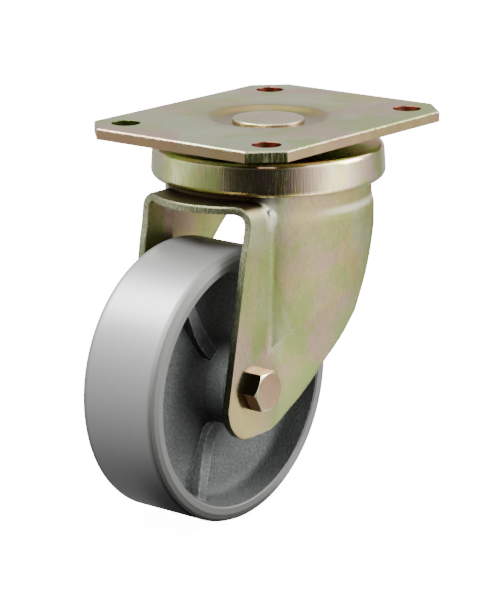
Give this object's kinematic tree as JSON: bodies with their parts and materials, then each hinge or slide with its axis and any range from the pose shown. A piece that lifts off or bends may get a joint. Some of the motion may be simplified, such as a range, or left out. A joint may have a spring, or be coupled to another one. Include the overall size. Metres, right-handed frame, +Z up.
{
  "type": "swivel castor",
  "caption": "Swivel castor with a rectangular top plate, ball-bearing swivel head, pressed steel fork and a roller-bearing cast-iron wheel.",
  "frame": {"origin": "centre of the top plate's upper face, on the swivel axis", "axes": "+Z up out of the top plate, +X against the trail of the wheel, which stands to -X of the swivel axis, and +Y along the axle towards its nut"},
  "size_m": [0.1775, 0.11, 0.176],
  "materials": {
    "zinc_plate": "zinc plated, yellow passivated",
    "zinc_cup": "zinc plated, yellow passivated",
    "zinc_pin": "zinc plated, yellow passivated",
    "zinc_fork": "zinc plated, yellow passivated",
    "zinc_bolt": "zinc plated, yellow passivated",
    "zinc_small": "zinc plated, yellow passivated",
    "race_steel": "hardened steel, turned",
    "ball_steel": "polished bearing steel",
    "cage_brass": "plain",
    "wheel_iron": "cast, with a turned tread"
  },
  "bodies": {
    "plate": {"top_plate": "zinc_plate", "king_pin": "zinc_pin", "race_cup": "zinc_cup", "lower_race": "race_steel", "king_washer": "zinc_small", "king_nut": "zinc_small"},
    "upper_ball_set": {"upper_balls": "ball_steel"},
    "lower_ball_set": {"lower_balls": "ball_steel"},
    "fork": {"fork": "zinc_fork", "axle_bolt": "zinc_bolt", "nut_washer": "zinc_small", "axle_nut": "zinc_bolt", "axle_sleeve": "race_steel", "hub_washer_near": "zinc_small", "hub_washer_far": "zinc_small"},
    "wheel": {"wheel": "wheel_iron"},
    "roller_set": {"roller_cage": "cage_brass", "rollers": "ball_steel"}
  },
  "joints": [
    {"name": "swivel", "type": "hinge", "parent": "plate", "child": "fork", "pos_m": [0, 0, 0], "axis": [0, 0, 1], "continuous": true},
    {"name": "wheel_spin", "type": "hinge", "parent": "fork", "child": "wheel", "pos_m": [-0.045, 0, -0.1135], "axis": [0, 1, 0], "continuous": true},
    {"name": "upper_ball_orbit", "type": "hinge", "parent": "plate", "child": "upper_ball_set", "pos_m": [0, 0, 0], "axis": [0, 0, 1], "continuous": true},
    {"name": "lower_ball_orbit", "type": "hinge", "parent": "plate", "child": "lower_ball_set", "pos_m": [0, 0, 0], "axis": [0, 0, 1], "continuous": true},
    {"name": "roller_orbit", "type": "hinge", "parent": "fork", "child": "roller_set", "pos_m": [-0.045, 0, -0.1135], "axis": [0, 1, 0], "continuous": true}
  ],
  "couplings": [
    {"joint": "upper_ball_orbit", "follows": "swivel", "ratio": 0.5},
    {"joint": "lower_ball_orbit", "follows": "swivel", "ratio": 0.5},
    {"joint": "roller_orbit", "follows": "wheel_spin", "ratio": 0.6057}
  ]
}
